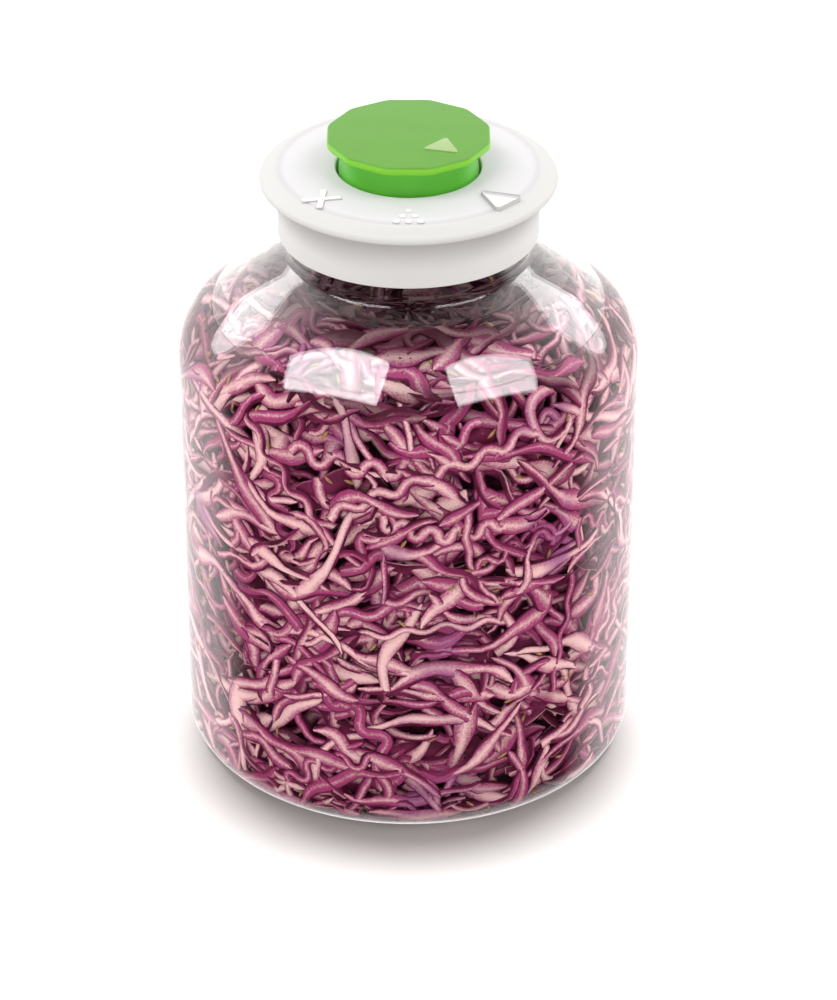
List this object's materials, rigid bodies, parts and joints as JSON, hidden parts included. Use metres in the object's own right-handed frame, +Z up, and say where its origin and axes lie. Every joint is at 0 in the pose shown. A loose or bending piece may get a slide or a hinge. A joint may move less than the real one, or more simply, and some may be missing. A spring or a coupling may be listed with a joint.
{
  "type": "fermentation jar",
  "caption": "Wide round glass fermentation jar filled with shredded red cabbage, shut by a flanged white lid with a turning green valve knob.",
  "frame": {"origin": "centre of the jar's base, on the surface it stands on", "axes": "+Z up along the jar's axis, through the knob; -Y is the shown front, where the lid's six dots are"},
  "size_m": [0.175, 0.175, 0.2559],
  "materials": {
    "clear_glass": "clear, smooth and glossy",
    "white_plastic": "moulded, satin",
    "green_plastic": "moulded, satin",
    "pale_green_plastic": "moulded, smooth",
    "red_cabbage": "wet, shredded leaves"
  },
  "bodies": {
    "jar": {"glass_jar": "clear_glass", "cabbage": "red_cabbage", "lid": "white_plastic"},
    "knob": {"knob": "green_plastic", "pointer": "pale_green_plastic"}
  },
  "joints": [
    {"name": "knob_turn", "type": "hinge", "parent": "jar", "child": "knob", "pos_m": [0, 0, 0.2425], "axis": [0, 0, 1], "range_deg": [-95, 0]}
  ]
}
